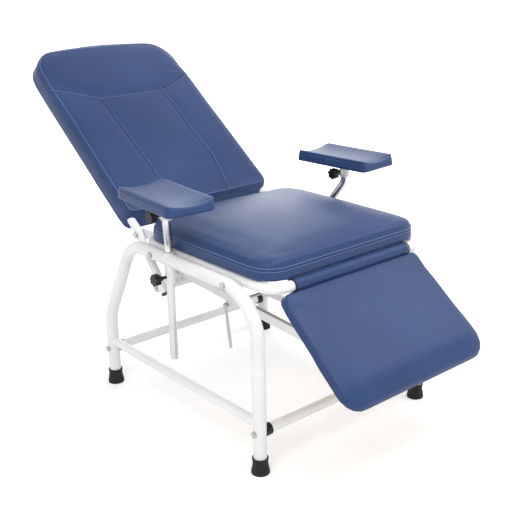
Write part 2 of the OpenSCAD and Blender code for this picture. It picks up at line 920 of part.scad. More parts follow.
module back_pad() {
    color("midnightblue")
        difference() {
            in_backrest()
                difference() {
                    back_form();
                    translate([0, 0, back_rear_n - over])
                        rounded_plate(back_inner_half, recess_low_u, recess_high_u,
                            back_low_corner_r, back_panel_t + soft_gap + over);
                    translate([0, 0, back_rear_n + back_panel_t])
                        rounded_plate(back_tube_x + back_tube_d / 2 + notch_gap, recess_low_u,
                            top_bar_u + back_low_corner_r, back_low_corner_r,
                            back_board_n + board_gap - back_rear_n - back_panel_t);
                    translate([0, 0, back_board_n])
                        rounded_plate(back_w / 2 - board_inset, recess_low_u, recess_high_u,
                            back_low_corner_r, back_board_t + board_gap);
                    for (side = [left, right])
                        translate([side * back_tube_x, 0, back_tube_n])
                            rotate([-90, 0, 0])
                                cylinder(h = recess_low_u + back_tube_d,
                                    d = back_tube_d + 2 * notch_gap);
                }
        }
}

module back_panel() {
    color("midnightblue")
        in_backrest()
            translate([0, 0, back_rear_n])
                rounded_plate(back_inner_half - soft_gap, recess_low_u + soft_gap,
                    recess_high_u - soft_gap, back_low_corner_r, back_panel_t);
}

// Link bars: open channels with solid ends, and the plates and pins that hold them
module in_link(side) {
    translate([side * link_x, link_rear[0], link_rear[1]]) rotate([link_angle, 0, 0]) children();
}

module link_bar(side) {
    color("white")
        union() {
            difference() {
                in_link(side) {
                    rotate([90, 0, 90])
                        translate([0, 0, -link_t / 2])
                            linear_extrude(link_t)
                                union() {
                                    circle(d = link_h);
                                    translate([-link_len, 0]) circle(d = link_h);
                                    translate([-link_len, -link_h / 2]) square([link_len, link_h]);
                                }
                }
                in_link(side)
                    translate([link_wall - link_t / 2, link_solid_end - link_len,
                            link_wall - link_h / 2])
                        cube([link_t - 2 * link_wall, link_len - 2 * link_solid_end, link_h]);
                x_rod(side * (link_x - link_t), side * (link_x + link_t), link_rear,
                    link_pin_d + 2 * run_gap);
                x_rod(side * (link_x - link_t), side * (link_x + link_t), link_front,
                    link_pin_d + 2 * link_slack);
            }
            release_lug(side);
        }
}

release_z = link_rear[1] + (release_y - link_rear[0]) * link_vec[1] / link_vec[0] - release_below;

module release_lug(side) {
    difference() {
        side_plate(side * link_x, link_t - 2 * lug_inset)
            union() {
                translate([release_y, release_z]) circle(r = lug_r);
                translate([release_y - lug_r, release_z])
                    square([2 * lug_r, release_below - link_h / 2 + link_wall / 2]);
            }
        x_rod(side * (link_x - link_t), side * (link_x + link_t), [release_y, release_z],
            release_d + 2 * run_gap);
    }
}

module link_brackets() {
    color("white")
        for (side = [left, right], s = [-1, 1])
            difference() {
                side_plate(side * link_x + s * (link_t / 2 + cheek_gap + cheek_t / 2), cheek_t)
                    union() {
                        translate(link_rear) circle(r = cheek_r);
                        translate(cross_tube_yz)
                            rotate([0, 0, angle_of(link_rear - cross_tube_yz)])
                                translate([0, -cheek_r])
                                    square([norm(link_rear - cross_tube_yz), 2 * cheek_r]);
                    }
                x_rod(-frame_x, frame_x, cross_tube_yz, cross_tube_d + 2 * seat_gap);
                x_rod(-frame_x, frame_x, link_rear, link_pin_d + 2 * seat_gap);
            }
}

module link_rear_pins() {
    face = link_t / 2 + cheek_gap + cheek_t + seat_gap;
    color("silver")
        for (side = [left, right])
            translate([side * link_x, 0, 0])
                x_bolt(side, face, 2 * face + pin_tail, link_rear, link_pin_d, pin_head_d,
                    pin_head_h);
}

// Release lever: a cross rod in the link bars' lugs, bent down at its left end
release_x = link_x + link_t / 2 + nub_gap + nub_r;

module release_rod() {
    color("gray")
        x_rod(-release_x, link_x + link_t / 2 + pin_tail, [release_y, release_z], release_d,
            small_fn);
}

module release_nub() {
    color("silver")
        translate([-release_x, release_y, release_z])
            difference() {
                union() {
                    sphere(r = nub_r, $fn = small_fn);
                    rotate([180 - release_lean, 0, 0])
                        cylinder(h = release_drop, d = release_d, $fn = small_fn);
                }
                rotate([0, 90, 0])
                    cylinder(h = nub_r + over, d = release_d + 2 * seat_gap, $fn = small_fn);
            }
}

// Leg rest
module in_legrest() {
    translate([0, hinge[0], hinge[1]]) rotate([leg_angle, 0, 0]) children();
}

module hinge_rings() {
    color("black")
        for (side = [left, right])
            x_tube(side * (roll_half + ring_gap), side * (roll_half + ring_gap + ring_w), hinge,
                2 * (hinge_r + roll_t), hinge_r + roll_t - seat_tube_d / 2 - seat_gap);
}

module leg_hinge_tube() {
    color("white") x_tube(-roll_half, roll_half, hinge, 2 * hinge_r, hinge_wall);
}

arm_half = link_t / 2 + cheek_gap + arm_plate_t;

module leg_roll() {
    color("midnightblue")
        difference() {
            x_tube(-roll_half, roll_half, hinge, 2 * (hinge_r + roll_t), roll_t - seat_gap);
            in_legrest()
                for (side = [left, right])
                    translate([side * link_x - arm_half - soft_gap, -arm_top_u - 2 * roll_t,
                            -hinge_r - 2 * roll_t])
                        cube([2 * (arm_half + soft_gap), 2 * (arm_top_u + 2 * roll_t),
                            hinge_r + roll_t]);
        }
}

arm_low_u = leg_top_u + leg_len - arm_low_margin;
arm_high_n = leg_rear_n - seat_gap;

module leg_arm(side) {
    color("white")
        in_legrest()
            difference() {
                union() {
                    for (s = [-1, 1])
                        side_plate(side * link_x + s * (arm_half - arm_plate_t / 2), arm_plate_t)
                            union() {
                                translate([-arm_low_u, arm_high_n - arm_depth])
                                    square([arm_low_u + arm_top_u, arm_depth]);
                                translate([-arm_top_u, arm_high_n - arm_depth])
                                    square([2 * arm_top_u, arm_depth - arm_high_n - hinge_r / 2]);
                                translate([-front_pin_u, front_pin_n]) circle(r = front_pin_boss);
                            }
                    translate([side * link_x - arm_half, -arm_low_u, arm_high_n - arm_web_t])
                        cube([2 * arm_half, arm_low_u - leg_top_u, arm_web_t]);
                }
                x_rod(-frame_x, frame_x, [0, 0], 2 * (hinge_r + seat_gap));
                x_rod(-frame_x, frame_x, [-front_pin_u, front_pin_n], link_pin_d + 2 * seat_gap);
            }
}

module link_front_pins() {
    face = arm_half + seat_gap;
    color("silver")
        for (side = [left, right])
            translate([side * link_x, 0, 0])
                x_bolt(side, face, 2 * face + pin_tail, link_front, link_pin_d, pin_head_d,
                    pin_head_h);
}

leg_low_u = leg_top_u + leg_len;

module leg_board() {
    color("tan")
        in_legrest()
            translate([0, 0, leg_rear_n])
                rounded_plate(leg_w / 2 - leg_board_margin, -leg_low_u + leg_board_margin,
                    -leg_top_u - leg_board_margin, leg_corner_r, leg_board_t);
}

module leg_pad() {
    rows = row_places(-leg_low_u, -leg_top_u, leg_low_corner_r, leg_corner_r, 9);
    mid = -(leg_low_u + leg_top_u) / 2;
    rings = [
        for (y = rows)
            let (
                flare = leg_flare / 2 * min(1, (-y - leg_top_u) / (leg_len - leg_low_corner_r)),
                half = corner_half(leg_w / 2 + flare, -leg_low_u, -leg_top_u,
                    leg_low_corner_r, leg_corner_r, y),
                fall = end_fall(-leg_low_u, -leg_top_u, leg_t / 4, y),
                edge = leg_rear_n + leg_t - fall * leg_t / 4
            )
            pad_ring(y, half, function(s) leg_rear_n + fall * leg_t / 8, edge,
                function(s) edge + leg_crown * bulge(s) * bulge((y - mid) / (leg_len / 2)),
                leg_t / 16, leg_rear_n + leg_t * 0.35, leg_t / 8, leg_t / 4)
    ];
    color("midnightblue")
        in_legrest()
            difference() {
                skin(rings);
                translate([0, 0, leg_rear_n - over])
                    rounded_plate(leg_w / 2 - leg_board_margin + soft_gap,
                        -leg_low_u + leg_board_margin - soft_gap,
                        -leg_top_u - leg_board_margin + soft_gap, leg_corner_r,
                        leg_board_t + over + soft_gap);
            }
}

// Armrests: socket in the rail, plastic liner, cranked post, bracket, board and pad
module knob(reach, tip, d_stem) {
    lobe = knob_d / 6;
    union() {
        translate([reach - knob_t / 2, 0, 0])
            rotate([0, 90, 0])
                linear_extrude(knob_t)
                    union() {
                        circle(d = knob_d - 1.4 * lobe);
                        for (i = [0 : knob_lobes - 1])
                            rotate([0, 0, i * 360 / knob_lobes])
                                translate([knob_d / 2 - lobe, 0]) circle(r = lobe, $fn = small_fn);
                    }
        translate([reach - knob_t / 2 - knob_hub_len, 0, 0])
            rotate([0, 90, 0])
                cylinder(h = knob_hub_len, d1 = knob_tip_d, d2 = knob_hub_d, $fn = small_fn);
        translate([tip, 0, 0])
            rotate([0, 90, 0])
                cylinder(h = reach - tip, d = d_stem, $fn = small_fn);
    }
}

// The lower knobs point outwards, the upper ones both point to the left
function height_knob_turn(side) = side > 0 ? 0 : 180;
swivel_knob_turn = 180;

module arm_socket(side) {
    color("white")
        difference() {
            translate([side * frame_x, post_y, socket_low_z])
                cylinder(h = socket_high_z - socket_low_z, d = socket_d);
            translate([side * frame_x, post_y, socket_low_z - over])
                cylinder(h = socket_high_z - socket_low_z + 2 * over,
                    d = post_d + 4 * run_gap + 2 * liner_t);
            translate([side * frame_x, post_y, knob_z])
                rotate([0, 0, height_knob_turn(side)])
                    rotate([0, 90, 0]) cylinder(h = socket_d, d = stem_d + 2 * run_gap);
        }
}

module liner(side) {
    color("gainsboro")
        translate([side * frame_x, post_y, socket_low_z])
            difference() {
                union() {
                    cylinder(h = socket_high_z - socket_low_z,
                        d = post_d + 2 * run_gap + 2 * liner_t);
                    translate([0, 0, socket_high_z - socket_low_z + soft_gap])
                        cylinder(h = liner_flange_t, d = socket_d);
                    cylinder(h = socket_high_z - socket_low_z + soft_gap + liner_flange_t / 2,
                        d = post_d + 2 * run_gap + 2 * liner_t);
                }
                translate([0, 0, -over])
                    cylinder(h = socket_high_z - socket_low_z + 3 * liner_flange_t + 2 * over,
                        d = post_d + 2 * run_gap);
            }
}

post_path = [[0, post_low_z], [0, crank_low_z], [crank, crank_high_z], [crank, post_high_z]];

module post(side) {
    color("silver")
        translate([side * frame_x, post_y, 0])
            rotate([0, 0, angle_of([side * crank_out, -crank_front])])
                rotate([90, 0, 0])
                    planar_tube(post_path, [crank_bend_r, crank_bend_r], post_d, post_wall);
}

module at_arm(side) {
    translate([side * (frame_x + crank_out), post_y - crank_front, 0])
        rotate([0, 0, side * toe_out]) children();
}

bracket_plate_z = post_high_z + soft_gap + run_gap;

module arm_bracket(side) {
    color("white")
        difference() {
            union() {
                at_arm(side)
                    translate([-bracket_plate_w / 2, -bracket_plate_len / 2, bracket_plate_z])
                        cube([bracket_plate_w, bracket_plate_len, bracket_plate_t]);
                translate([side * (frame_x + crank_out), post_y - crank_front, bracket_low_z])
                    union() {
                        cylinder(h = bracket_plate_z - bracket_low_z, d = bracket_d);
                        translate([0, 0, swivel_knob_z - bracket_low_z])
                            rotate([0, 0, swivel_knob_turn])
                                rotate([0, 90, 0])
                                    cylinder(h = bracket_d / 2 + bracket_boss_len,
                                        d = bracket_boss_d);
                    }
            }
            translate([side * (frame_x + crank_out), post_y - crank_front, bracket_low_z - over])
                cylinder(h = bracket_plate_z - bracket_low_z + over, d = post_d + 2 * run_gap);
            translate([side * (frame_x + crank_out), post_y - crank_front, swivel_knob_z])
                rotate([0, 0, swivel_knob_turn])
                    rotate([0, 90, 0])
                        cylinder(h = bracket_d + bracket_boss_len, d = stem_d + 2 * run_gap);
        }
}

arm_board_z = bracket_plate_z + bracket_plate_t;

module arm_board(side) {
    color("tan")
        at_arm(side)
            translate([0, 0, arm_board_z])
                rounded_plate(arm_w / 2 - arm_board_margin, arm_board_margin - arm_len / 2,
                    arm_len / 2 - arm_board_margin, arm_board_margin, arm_board_t);
}

arm_corner_r = 14;
arm_end_round = 8;

module arm_pad(side) {
    rows = row_places(-arm_len / 2, arm_len / 2, arm_corner_r, arm_corner_r, 6);
    rings = [
        for (y = rows)
            let (
                half = corner_half(arm_w / 2, -arm_len / 2, arm_len / 2, arm_corner_r,
                    arm_corner_r, y),
                fall = end_fall(-arm_len / 2, arm_len / 2, arm_end_round, y),
                edge = arm_board_z + arm_t - fall * arm_end_round
            )
            pad_ring(y, half, function(s) arm_board_z + fall * base_round / 2, edge,
                function(s) edge - arm_trough * bulge(s), seam_pull / 3,
                arm_board_z + arm_t * 0.45, base_round / 2, arm_t / 5)
    ];
    color("midnightblue")
        at_arm(side)
            difference() {
                skin(rings);
                translate([0, 0, arm_board_z - over])
                    rounded_plate(arm_w / 2 - arm_board_margin + soft_gap,
                        arm_board_margin - arm_len / 2 - soft_gap,
                        arm_len / 2 - arm_board_margin + soft_gap, arm_board_margin,
                        arm_board_t + over + soft_gap);
            }
}

module height_knob(side) {
    color("black")
        translate([side * frame_x, post_y, knob_z])
            rotate([0, 0, height_knob_turn(side)])
                knob(knob_reach, post_d / 2 + liner_t + run_gap + soft_gap, stem_d);
}

module swivel_knob(side) {
    color("black")
        translate([side * (frame_x + crank_out), post_y - crank_front, swivel_knob_z])
            rotate([0, 0, swivel_knob_turn])
                knob(knob_reach, post_d / 2 + soft_gap, stem_d);
}

side_frame(left);  // left_side_frame
side_frame(right);  // right_side_frame
side_brace(left);  // left_side_brace
side_brace(right);  // right_side_brace
cross_brace(-foot_y);  // front_cross_brace
cross_brace(foot_y);  // rear_cross_brace
brace_saddles();
brace_inserts();
leg_bolts();
feet(-foot_y);  // front_feet
feet(foot_y);  // rear_feet
seat_frame();
rail_bolts();
rail_nuts();
seat_board();
seat_screws();
seat_cushion();
pivot_ears();
pivot_bolts();
hinge_rings();
back_tube(left);  // left_back_tube
back_tube(right);  // right_back_tube
back_top_bar();
lever_cross_tube();
lever_plugs();
pivot_bushes();
back_board();
back_board_bolts();
back_pad();
back_panel();
link_brackets();
link_rear_pins();
link_bar(left);  // left_link_bar
link_bar(right);  // right_link_bar
release_rod();
release_nub();
leg_hinge_tube();
leg_roll();
leg_arm(left);  // left_leg_arm
leg_arm(right);  // right_leg_arm
leg_board();
leg_pad();
link_front_pins();
arm_socket(left);  // left_arm_socket
liner(left);  // left_liner
post(left);  // left_post
arm_bracket(left);  // left_arm_bracket
arm_board(left);  // left_arm_board
arm_pad(left);  // left_arm_pad
height_knob(left);  // left_height_knob
swivel_knob(left);  // left_swivel_knob
arm_socket(right);  // right_arm_socket
liner(right);  // right_liner
post(right);  // right_post
arm_bracket(right);  // right_arm_bracket
arm_board(right);  // right_arm_board
arm_pad(right);  // right_arm_pad
height_knob(right);  // right_height_knob
swivel_knob(right);  // right_swivel_knob
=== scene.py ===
"""Reclining blood-sampling chair: navy vinyl pads on a white tube frame."""
import json
import math

import bmesh
import bpy
import numpy as np
from mathutils import Matrix, Vector
from mathutils.kdtree import KDTree


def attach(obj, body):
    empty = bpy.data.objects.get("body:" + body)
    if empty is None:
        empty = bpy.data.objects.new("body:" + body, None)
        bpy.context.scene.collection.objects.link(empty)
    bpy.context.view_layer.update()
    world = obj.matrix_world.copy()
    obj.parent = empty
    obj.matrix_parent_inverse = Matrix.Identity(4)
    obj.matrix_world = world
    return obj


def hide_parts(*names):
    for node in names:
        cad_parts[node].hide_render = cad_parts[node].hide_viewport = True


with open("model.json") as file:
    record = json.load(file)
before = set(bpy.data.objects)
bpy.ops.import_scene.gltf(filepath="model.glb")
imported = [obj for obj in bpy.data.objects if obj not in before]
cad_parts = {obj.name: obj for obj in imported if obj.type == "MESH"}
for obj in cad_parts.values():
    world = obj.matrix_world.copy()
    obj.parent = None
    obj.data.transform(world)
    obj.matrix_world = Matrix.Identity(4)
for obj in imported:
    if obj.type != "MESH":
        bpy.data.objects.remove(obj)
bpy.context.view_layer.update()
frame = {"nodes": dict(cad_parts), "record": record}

# Camera: the photograph's viewpoint
CAMERA_AT = Vector((-1.4236, -1.6813, 1.1518))
CAMERA_AZIMUTH = math.radians(-40.2655)
CAMERA_ELEVATION = math.radians(19.4024)
CAMERA_ROLL = math.radians(-1.0425)
CAMERA_LENS = 61.5
CAMERA_REACH = 50


def place_camera():
    """Camera at the photograph's place, turned by its azimuth, elevation and roll."""
    a, e, r = CAMERA_AZIMUTH, CAMERA_ELEVATION, CAMERA_ROLL
    ahead = Vector((-math.sin(a) * math.cos(e), math.cos(a) * math.cos(e), -math.sin(e)))
    level = Vector((math.cos(a), math.sin(a), 0))
    upward = level.cross(ahead)
    right = math.cos(r) * level + math.sin(r) * upward
    up = -math.sin(r) * level + math.cos(r) * upward
    camera = bpy.data.objects.new("camera", bpy.data.cameras.new("camera"))
    camera.data.lens = CAMERA_LENS
    camera.data.clip_end = CAMERA_REACH
    turn = Matrix((right, up, -ahead)).transposed().to_4x4()
    camera.matrix_world = Matrix.Translation(CAMERA_AT) @ turn
    bpy.context.collection.objects.link(camera)
    bpy.context.scene.camera = camera


# Shader nodes
MIX_FIRST, MIX_SECOND, MIX_COLOUR = 6, 7, 2  # the Mix node's colour sockets


def grey(level):
    return (level, level, level)


class Value:
    """An output of a graph's node, with arithmetic that adds Math nodes."""

    def __init__(self, graph, socket):
        self.graph, self.socket = graph, socket

    def math(self, operation, other):
        return self.graph.add("ShaderNodeMath", {"operation": operation}, {0: self, 1: other})

    def __add__(self, other):
        return self.math("ADD", other)

    def __mul__(self, other):
        return self.math("MULTIPLY", other)

    def __gt__(self, other):
        return self.math("GREATER_THAN", other)

    def __lt__(self, other):
        return self.math("LESS_THAN", other)

    __radd__ = __add__
    __rmul__ = __mul__


class Graph:
    """The nodes of a material or a world."""

    def __init__(self, tree):
        self.nodes, self.links = tree.nodes, tree.links

    def give(self, socket, value):
        """Link a value to an input, or set the input to a constant."""
        if isinstance(value, Value):
            self.links.new(value.socket, socket)
        else:
            socket.default_value = value

    def add(self, kind, settings, sockets, out=0):
        """A new node with its settings and inputs, as the value of one of its outputs."""
        node = self.nodes.new(kind)
        for key, value in settings.items():
            setattr(node, key, value)
        for key, value in sockets.items():
            self.give(node.inputs[key], value)
        return Value(self, node.outputs[out])

    def seen(self):
        """1 on rays that bring the camera its picture, also by mirror or glass, else 0."""
        rays = [self.add("ShaderNodeLightPath", {}, {}, "Is " + way + " Ray")
                for way in ("Camera", "Glossy", "Transmission")]
        return rays[0].math("MAXIMUM", rays[1]).math("MAXIMUM", rays[2])

    def either(self, amount, first, second):
        """Blend of two shaders."""
        return self.add("ShaderNodeMixShader", {}, {0: amount, 1: first, 2: second})


class Finish(Graph):
    """A material built from a Principled shader and procedural patterns."""

    def __init__(self, name):
        self.material = bpy.data.materials.new(name)
        self.material.use_nodes = True
        super().__init__(self.material.node_tree)
        self.shader = self.nodes["Principled BSDF"]
        self.place = self.add("ShaderNodeTexCoord", {}, {}, "Object")

    def noise(self, scale, detail, roughness=0.5, stretch=None):
        place = self.place
        if stretch:
            place = self.add("ShaderNodeMapping", {}, {"Vector": place, "Scale": stretch})
        sockets = {"Vector": place, "Scale": scale, "Detail": detail, "Roughness": roughness}
        return self.add("ShaderNodeTexNoise", {}, sockets)

    def cells(self, scale):
        """Distance to the middle of the nearest of many small cells."""
        return self.add("ShaderNodeTexVoronoi", {"feature": "F1"},
                        {"Vector": self.place, "Scale": scale}, "Distance")

    def ramp(self, value, *stops):
        """Colour for a value, from stops that are a place and a colour each."""
        made = self.add("ShaderNodeValToRGB", {}, {"Fac": value})
        elements = made.socket.node.color_ramp.elements
        while len(elements) < len(stops):
            elements.new(0.5)
        for element, (at, colour) in zip(elements, stops):
            element.position = at
            element.color = (*colour, 1)
        return made

    def fade(self, value, low, high, least=0, most=1):
        """Least where the value is below low, most above high, and even between."""
        return self.ramp(value, (low, grey(least)), (high, grey(most)))

    def mix(self, amount, first, second):
        """Blend of two colours, each a value or three numbers."""
        first, second = (c if isinstance(c, Value) else (*c, 1) for c in (first, second))
        return self.add("ShaderNodeMix", {"data_type": "RGBA"},
                        {"Factor": amount, MIX_FIRST: first, MIX_SECOND: second}, MIX_COLOUR)

    def bump(self, height, distance, strength, under=None):
        sockets = {"Height": height, "Distance": distance, "Strength": strength}
        if under:
            sockets["Normal"] = under
        return self.add("ShaderNodeBump", {}, sockets)

    def feed(self, name, value):
        self.give(self.shader.inputs[name], value)


def vinyl(name, base, light, dark):
    """Soft upholstery vinyl: pebbled grain, faint creases and an uneven low sheen."""
    coat = Finish(name)
    broad = coat.noise(scale=5, detail=3)
    mottle = coat.noise(scale=38, detail=4, roughness=0.6)
    grain = coat.cells(scale=720)
    fine = coat.noise(scale=1500, detail=2)
    creases = coat.noise(scale=26, detail=5, roughness=0.62, stretch=(1.0, 0.45, 1.0))
    shade = coat.mix(coat.fade(broad, 0.35, 0.68), dark, base)
    tone = coat.mix(mottle * 0.22, shade, light)
    coat.feed("Specular IOR Level", 0.28)
    coat.feed("Base Color", coat.mix((grain > 0.46) * 0.14, tone, dark))
    coat.feed("Roughness", 0.34 + broad * 0.08 + mottle * 0.08)
    soft = coat.bump(creases, distance=0.0012, strength=0.35)
    pebble = coat.bump(grain + fine * 0.35, distance=0.00022, strength=0.55, under=soft)
    coat.feed("Normal", pebble)
    return coat.material


def powder_coat(name, colour, shadow):
    """White powder coat: orange-peel skin, slightly duller and greyer in patches."""
    coat = Finish(name)
    patches = coat.noise(scale=9, detail=3)
    peel = coat.noise(scale=620, detail=2)
    specks = coat.cells(scale=260)
    tone = coat.mix(coat.fade(patches, 0.42, 0.75), colour, shadow)
    coat.feed("Base Color", coat.mix((specks < 0.05) * 0.25, tone, shadow))
    coat.feed("Roughness", 0.3 + patches * 0.12)
    coat.feed("Normal", coat.bump(peel, distance=0.00012, strength=0.35))
    return coat.material


def metal(name, colour, worn, rough, spread, brushed):
    """Bare or plated metal with faint smears and fine drawn lines."""
    coat = Finish(name)
    smears = coat.noise(scale=24, detail=4, roughness=0.6)
    lines = coat.noise(scale=300, detail=3, roughness=0.6, stretch=(1, 1, brushed))
    coat.feed("Metallic", 1.0)
    coat.feed("Base Color", coat.mix(smears * 0.5, colour, worn))
    coat.feed("Roughness", rough + smears * spread)
    coat.feed("Normal", coat.bump(lines, distance=0.00005, strength=0.3))
    return coat.material


def moulded(name, colour, scuffed, rough, texture, depth):
    """Moulded plastic or rubber: fine spark texture and dusty scuffs."""
    coat = Finish(name)
    dust = coat.noise(scale=60, detail=4, roughness=0.65)
    spark = coat.noise(scale=texture, detail=3, roughness=0.6)
    coat.feed("Specular IOR Level", 0.3)
    coat.feed("Base Color", coat.mix(coat.fade(dust, 0.5, 0.8, most=0.6), colour, scuffed))
    coat.feed("Roughness", rough + dust * 0.15)
    coat.feed("Normal", coat.bump(spark, distance=depth, strength=0.5))
    return coat.material


def plywood(name, dark, middle, pale, streak):
    """Unfinished plywood: long grain with pale and dark streaks."""
    coat = Finish(name)
    grain = coat.noise(scale=60, detail=6, roughness=0.65, stretch=(1.0, 0.06, 1.0))
    streaks = coat.noise(scale=11, detail=3, stretch=(1.0, 0.2, 1.0))
    tone = coat.ramp(grain, (0.3, dark), (0.55, middle), (0.8, pale))
    coat.feed("Base Color", coat.mix(streaks * 0.35, tone, streak))
    coat.feed("Roughness", 0.6 + grain * 0.2)
    coat.feed("Normal", coat.bump(grain, distance=0.0003, strength=0.5))
    return coat.material


# The finish of each material slot, and of the trims: its maker and what that is given
LOOKS = {
    "white_paint": (powder_coat, {
        "colour": (0.9, 0.905, 0.91), "shadow": (0.84, 0.845, 0.855)}),
    "black_plastic": (moulded, {
        "colour": (0.008, 0.008, 0.009), "scuffed": (0.03, 0.03, 0.033),
        "rough": 0.36, "texture": 900, "depth": 0.00015}),
    "grey_plastic": (moulded, {
        "colour": (0.4, 0.4, 0.41), "scuffed": grey(0.5),
        "rough": 0.5, "texture": 900, "depth": 0.0001}),
    "pale_plastic": (moulded, {
        "colour": (0.66, 0.67, 0.68), "scuffed": grey(0.75),
        "rough": 0.4, "texture": 900, "depth": 0.0001}),
    "zinc_steel": (metal, {
        "colour": grey(0.5), "worn": (0.34, 0.34, 0.35),
        "rough": 0.3, "spread": 0.25, "brushed": 0.05}),
    "black_rubber": (moulded, {
        "colour": grey(0.012), "scuffed": (0.045, 0.043, 0.04),
        "rough": 0.6, "texture": 500, "depth": 0.0003}),
    "plywood": (plywood, {
        "dark": (0.34, 0.2, 0.1), "middle": (0.55, 0.38, 0.21), "pale": (0.66, 0.5, 0.31),
        "streak": (0.45, 0.3, 0.16)}),
    "navy_vinyl": (vinyl, {
        "base": (0.025, 0.058, 0.17), "light": (0.045, 0.088, 0.22),
        "dark": (0.017, 0.042, 0.132)}),
    # painted highlight: the welts' navy is paler than the pads' so that they stand in for the
    # light caught along the seams
    "navy_piping": (vinyl, {
        "base": (0.11, 0.165, 0.33), "light": (0.15, 0.22, 0.39),
        "dark": (0.08, 0.13, 0.28)}),
    "thread": (moulded, {
        "colour": (0.05, 0.085, 0.2), "scuffed": (0.08, 0.12, 0.25),
        "rough": 0.6, "texture": 2500, "depth": 0.0001}),
    "chrome": (metal, {
        "colour": (0.6, 0.61, 0.62), "worn": grey(0.42),
        "rough": 0.12, "spread": 0.16, "brushed": 0.02}),
}
FINISHES = {name: make(name, **look) for name, (make, look) in LOOKS.items()}


def dress(mesh, finish):
    """Give a mesh one finish and no other."""
    mesh.materials.clear()
    mesh.materials.append(FINISHES[finish])


def dress_cad_nodes():
    """Give every CAD node the finish that the record names for it."""
    for part in frame["record"]["subparts"]:
        dress(frame["nodes"][part["node"]].data, part["material_slot"])


# Meshes
TINY = 1e-9  # stands in for a length of nothing where something is divided by it
EASING = (0.5, -0.52)  # a pull in and a slightly stronger push out, so nothing shrinks


def read_rows(elements, key):
    """The vectors of a mesh's elements as rows of three."""
    flat = np.empty(len(elements) * 3, dtype=np.float64)
    elements.foreach_get(key, flat)
    return flat.reshape(-1, 3)


def points_of(mesh):
    return read_rows(mesh.vertices, "co")


def normals_of(mesh):
    return read_rows(mesh.vertices, "normal")


def set_points(mesh, points):
    mesh.vertices.foreach_set("co", np.ascontiguousarray(points, dtype=np.float32).ravel())
    mesh.update()


def into(matrix, points):
    m = np.array(matrix)
    return points @ m[:3, :3].T + m[:3, 3]


def rise(values, start, end):
    """0 up to start and 1 from end on, even between, whichever of the two is higher."""
    return np.clip((values - start) / (end - start), 0, 1)


def clear_of_axis(points, centre, radius):
    """Points moved out of a cylinder that lies along x."""
    off = points[:, 1:] - centre
    far = np.maximum(np.hypot(off[:, 0], off[:, 1]), TINY)
    points[:, 1:] = centre + off * np.maximum(1, radius / far)[:, None]
    return points


def smooth(mesh):
    mesh.polygons.foreach_set("use_smooth", [True] * len(mesh.polygons))


def new_piece(name, build, finish=None):
    """A piece made of a bmesh, which is freed, smooth where it has its finish already."""
    mesh = bpy.data.meshes.new(name)
    build.to_mesh(mesh)
    build.free()
    if finish:
        smooth(mesh)
        dress(mesh, finish)
    piece = bpy.data.objects.new(name, mesh)
    bpy.context.collection.objects.link(piece)
    return piece


def keep_modifiers(piece):
    """Replace a piece's mesh by what its modifiers make of it."""
    bpy.context.view_layer.update()
    made = piece.evaluated_get(bpy.context.evaluated_depsgraph_get())
    mesh = bpy.data.meshes.new_from_object(made)
    piece.modifiers.clear()
    piece.data = mesh


def around(count):
    """Angles of evenly spaced points on a circle."""
    return np.linspace(0, 2 * math.pi, count + 1)[:-1]


def circle(build, centre, radius, side, out, count):
    """Ring of vertices in the plane of two directions."""
    return [build.verts.new(centre + radius * (math.cos(t) * side + math.sin(t) * out))
            for t in around(count)]


def join(build, first, second, places):
    """Faces between two rings, from the vertices at these places to the ones after."""
    for k in places:
        after = (k + 1) % len(first)
        build.faces.new((first[k], first[after], second[after], second[k]))


def loft(build, rings):
    """Closed skin over a run of rings, with a cap at both ends."""
    for first, second in zip(rings, rings[1:]):
        join(build, first, second, range(len(first)))
    build.faces.new(rings[0][::-1])
    build.faces.new(rings[-1])


def eased(mesh, values, pulls):
    """A value at each point pulled towards, or pushed from, the mean of its neighbours'."""
    edges = np.empty(len(mesh.edges) * 2, dtype=np.int32)
    mesh.edges.foreach_get("vertices", edges)
    a, b = edges[0::2], edges[1::2]
    total = len(values)
    count = np.bincount(a, minlength=total) + np.bincount(b, minlength=total)

    def beside(column):
        return np.bincount(a, column[b], total) + np.bincount(b, column[a], total)

    for pull in pulls:
        mean = np.stack([beside(column) for column in values.T], 1) / count[:, None]
        values = values + pull * (mean - values)
    return values


def relax(mesh, rounds):
    """Even out small creases of a skin without shrinking it."""
    set_points(mesh, eased(mesh, points_of(mesh), EASING * rounds))


# Seams
SEAM_SAMPLING, STITCH_SAMPLING, PIPING_SAMPLING = 0.0015, 0.001, 0.004
STITCH_LENGTH, STITCH_GAP = 0.0042, 0.0022
STITCH_SIDES, PIPING_SIDES = 6, 8
STITCH_PROFILE = ((0, 0.25), (0.15, 0.8), (0.5, 1), (0.85, 0.8), (1, 0.25))  # place, size
THREAD_RADIUS, THREAD_LIFT = 0.00045, 0.00022
PIPING_RADIUS, THIN_PIPING_RADIUS, ARM_PIPING_RADIUS = 0.0013, 0.0009, 0.001
BEYOND_REACH = 1.0  # distance given to points that are not near a seam


def along(path, spacing):
    """Evenly spaced points on a run of straight lines."""
    points = []
    for a, b in zip(path, path[1:]):
        count = max(1, round((b - a).length / spacing))
        points += [a.lerp(b, i / count) for i in range(count)]
    return points + [path[-1]]


def laid(piece, path, spacing):
    """Points along a path on the nearest skin of the piece, and the skin's normals there."""
    found = [piece.closest_point_on_mesh(p) for p in along(path, spacing)]
    return [f[1] for f in found], [f[2] for f in found]


def distance_to(piece, path, reach):
    """How far each of a piece's points is from a seam on its skin, where under the reach."""
    seam, _ = laid(piece, path, SEAM_SAMPLING)
    tree = KDTree(len(seam))
    for i, point in enumerate(seam):
        tree.insert(point, i)
    tree.balance()
    points, seam = points_of(piece.data), np.array(seam)
    inside = (points > seam.min(0) - reach) & (points < seam.max(0) + reach)
    far = np.full(len(points), BEYOND_REACH)
    for i in np.nonzero(np.all(inside, axis=1))[0]:
        far[i] = tree.find(points[i])[2]
    return far


